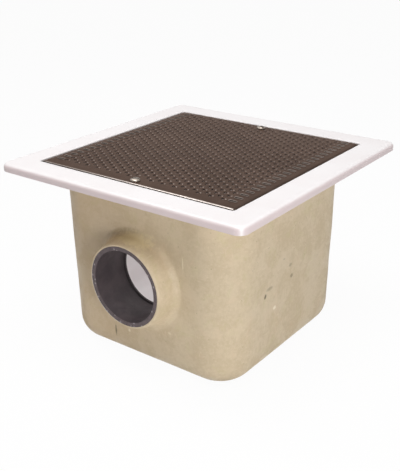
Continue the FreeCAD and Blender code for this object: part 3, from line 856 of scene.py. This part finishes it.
def make_cell(kind):
    """One cell of the sheet, its middle at the origin: plain, half, hole, stud or slot."""
    mesh = bmesh.new()
    half_column = COLUMN_PITCH / 2
    if kind == "slot":
        border = rectangle_loop(mesh, SLOT_CELL, ROW_PITCH, 6)
        collar = [punched_loop(mesh, width * MM, length * MM, corner * MM, 4, (0, 0), rise * MM)
                  for width, length, corner, rise in SLOT_RINGS]
        bridge(mesh, [border] + collar)
    elif kind == "half":
        cap(mesh, rectangle_loop(mesh, half_column, ROW_PITCH / 2, 2, rows=2))
    elif kind == "plain":
        cap(mesh, rectangle_loop(mesh, half_column, ROW_PITCH, 2))
    elif kind == "hole":
        border = rectangle_loop(mesh, half_column, ROW_PITCH, 2)
        hole = punched_loop(mesh, HOLE_WIDTH, HOLE_LENGTH, HOLE_CORNER, 2, (0.2 * MM, 0))
        bridge(mesh, [border, hole])
    elif kind == "stud":
        border = rectangle_loop(mesh, half_column, ROW_PITCH, 2)
        centre = Vector((-0.3 * MM, 1.0 * MM, TOP))
        loops = [border]
        for radius, rise in STUD_RINGS:
            loops.append(round_loop(mesh, radius * MM, centre + Vector((0, 0, rise * MM)), segments=12))
        bridge(mesh, loops)
        cap(mesh, loops[-1])
    data = bpy.data.meshes.new(kind)
    mesh.to_mesh(data)
    mesh.free()
    return data


def add_at(mesh, data, along_x, along_y):
    """Adds a copy of mesh data to a mesh, moved in the plane of the sheet."""
    placed = data.copy()
    placed.transform(Matrix.Translation((along_x, along_y, 0)))
    mesh.from_mesh(placed)
    bpy.data.meshes.remove(placed)


def make_column(cells, kind, along_x, shifted):
    """One column of cells down the sheet; a shifted column starts half a row later."""
    mesh = bmesh.new()
    for row in range(ROWS - 1 if shifted else ROWS):
        along_y = FIRST_ROW + row * ROW_PITCH + (ROW_PITCH / 2 if shifted else 0)
        spot = Vector((along_x, along_y))
        off_screw = min((spot - Vector((0, side * SCREW_OFFSET))).length for side in (-1, 1))
        add_at(mesh, cells["plain" if off_screw < CLEAR_OF_SCREW else kind], along_x, along_y)
    if shifted:
        ends = (FIRST_ROW - ROW_PITCH / 4, FIRST_ROW + (ROWS - 0.75) * ROW_PITCH)
        for along_y in ends:
            add_at(mesh, cells["half"], along_x, along_y)
    data = bpy.data.meshes.new("column")
    mesh.to_mesh(data)
    mesh.free()
    return data


def outer_edges(mesh, left, right, front, back):
    """Open edges that lie on the rectangle's four sides."""
    near = 0.01 * MM

    def on_side(edge):
        across = [vert.co.x for vert in edge.verts]
        along = [vert.co.y for vert in edge.verts]
        return any(all(abs(value - side) < near for value in values) for values, side in (
            (across, left), (across, right), (along, front), (along, back)))

    return [edge for edge in mesh.edges if edge.is_boundary and on_side(edge)]


def make_grille():
    """Perforated sheet with its four edges folded down."""
    cells = {kind: make_cell(kind) for kind in ("hole", "stud", "plain", "half", "slot")}
    mesh = bmesh.new()
    for step in range(-LAST_COLUMN, LAST_COLUMN + 1):
        shifted = bool((step + LAST_COLUMN) % 2)
        for kind, side in (("hole", -1), ("stud", 1)):
            along_x = step * COLUMN_PITCH + side * COLUMN_PITCH / 4
            add_at(mesh, make_column(cells, kind, along_x, shifted), 0, 0)
    slot_middle = FIELD_HALF + SLOT_CELL / 2
    for side in (-1, 1):
        add_at(mesh, make_column(cells, "slot", side * slot_middle, False), 0, 0)
    bmesh.ops.remove_doubles(mesh, verts=mesh.verts, dist=0.005 * MM)

    right = FIELD_HALF + SLOT_CELL
    front = FIRST_ROW - ROW_PITCH / 2
    back = front + ROWS * ROW_PITCH
    middle, reach = (front + back) / 2, (back - front) / 2
    flat_half = GRILLE_HALF - BEND
    grown = bmesh.ops.extrude_edge_only(mesh, edges=outer_edges(mesh, -right, right, front, back))
    rim = [item for item in grown["geom"] if isinstance(item, bmesh.types.BMVert)]
    bmesh.ops.translate(mesh, verts=rim, vec=(0, -middle, 0))
    bmesh.ops.scale(mesh, verts=rim, vec=(flat_half / right, flat_half / reach, 1))
    turns = [(flat_half + BEND * sine, TOP - BEND * (1 - cosine)) for sine, cosine in arc_steps(6)[1:]]
    half, level = flat_half, TOP
    for next_half, next_level in turns + [(GRILLE_HALF, SEAT)]:
        rim_edges = {edge for vert in rim for edge in vert.link_edges
                     if edge.is_boundary and all(end in rim for end in edge.verts)}
        grown = bmesh.ops.extrude_edge_only(mesh, edges=list(rim_edges))
        rim = [item for item in grown["geom"] if isinstance(item, bmesh.types.BMVert)]
        bmesh.ops.scale(mesh, verts=rim, vec=(next_half / half, next_half / half, 1))
        bmesh.ops.translate(mesh, verts=rim, vec=(0, 0, next_level - level))
        half, level = next_half, next_level
    bmesh.ops.recalc_face_normals(mesh, faces=mesh.faces)
    if sum(face.normal.z for face in mesh.faces) < 0:
        bmesh.ops.reverse_faces(mesh, faces=mesh.faces[:])
    bmesh.ops.solidify(mesh, geom=mesh.faces[:], thickness=SHEET)
    data = finish_mesh(mesh, "grille_sheet", 35)
    return new_piece("grille_sheet", data, [stainless], "stainless", "grille")


make_grille()


# Slotted screws

def make_screw_head(name, along_y, turn, node):
    """Domed screw head with a driver slot cut across it, on its shank."""
    mesh = bmesh.new()
    centre = Vector((0, along_y, TOP))
    loops = [round_loop(mesh, radius * MM, centre + Vector((0, 0, rise * MM)), segments=48)
             for radius, rise in SCREW_PROFILE]
    bridge(mesh, loops)
    cap(mesh, loops[0])
    cap(mesh, loops[-1])
    head = finish_mesh(mesh, name, 40)
    cutter = bmesh.new()
    cut_height = 4.2 * MM
    cut_middle = centre + Vector((0, 0, DRIVER_SLOT_FLOOR + cut_height / 2))
    place = (Matrix.Translation(cut_middle) @ Matrix.Rotation(math.radians(turn), 4, "Z")
             @ Matrix.Diagonal((14 * MM, DRIVER_SLOT_WIDTH, cut_height, 1)))
    bmesh.ops.create_cube(cutter, size=1, matrix=place)
    cut = combined(head, finish_mesh(cutter, "cutter", 40), "DIFFERENCE")
    mesh = bmesh.new()
    mesh.from_mesh(cut)
    return new_piece(name, finish_mesh(mesh, name, 40), [screw_steel], "screw_steel", node)


make_screw_head("screw_head_front", -SCREW_OFFSET, 24, "grille_screw_front")
make_screw_head("screw_head_back", SCREW_OFFSET, -31, "grille_screw_back")


# Pipe socket

def make_socket():
    """Grey pipe socket: square-cut end, bevelled entrance, smooth bore and a stop ring."""
    mesh = bmesh.new()
    edge = 0.4 * MM
    stop = SOCKET_LENGTH - STOP_LENGTH
    profile = ((SOCKET_OUTER, edge), (SOCKET_OUTER - edge, 0), (48 * MM, -0.1 * MM), (45.7 * MM, 0),
               (45.3 * MM, 0.3 * MM), (SOCKET_BORE + 0.1 * MM, 3.6 * MM), (SOCKET_BORE, 4.6 * MM),
               (SOCKET_BORE, 30 * MM), (SOCKET_BORE, stop - edge), (SOCKET_STOP + edge, stop),
               (SOCKET_STOP, stop + edge), (SOCKET_STOP, SOCKET_LENGTH - edge),
               (SOCKET_STOP + edge, SOCKET_LENGTH), (SOCKET_OUTER - edge, SOCKET_LENGTH),
               (SOCKET_OUTER, SOCKET_LENGTH - edge))
    loops = [round_loop(mesh, radius, (0, MOUTH + depth, OUTLET_HEIGHT), "Y") for radius, depth in profile]
    bridge(mesh, loops, close=True)
    data = finish_mesh(mesh, "socket_tube", 30)
    return new_piece("socket_tube", data, [socket_grey], "socket_grey", "outlet_socket")


make_socket()


# Threaded inserts keep their CAD shape

for name in ("screw_insert_front", "screw_insert_back"):
    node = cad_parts[name]
    node.data.materials.clear()
    node.data.materials.append(brass)
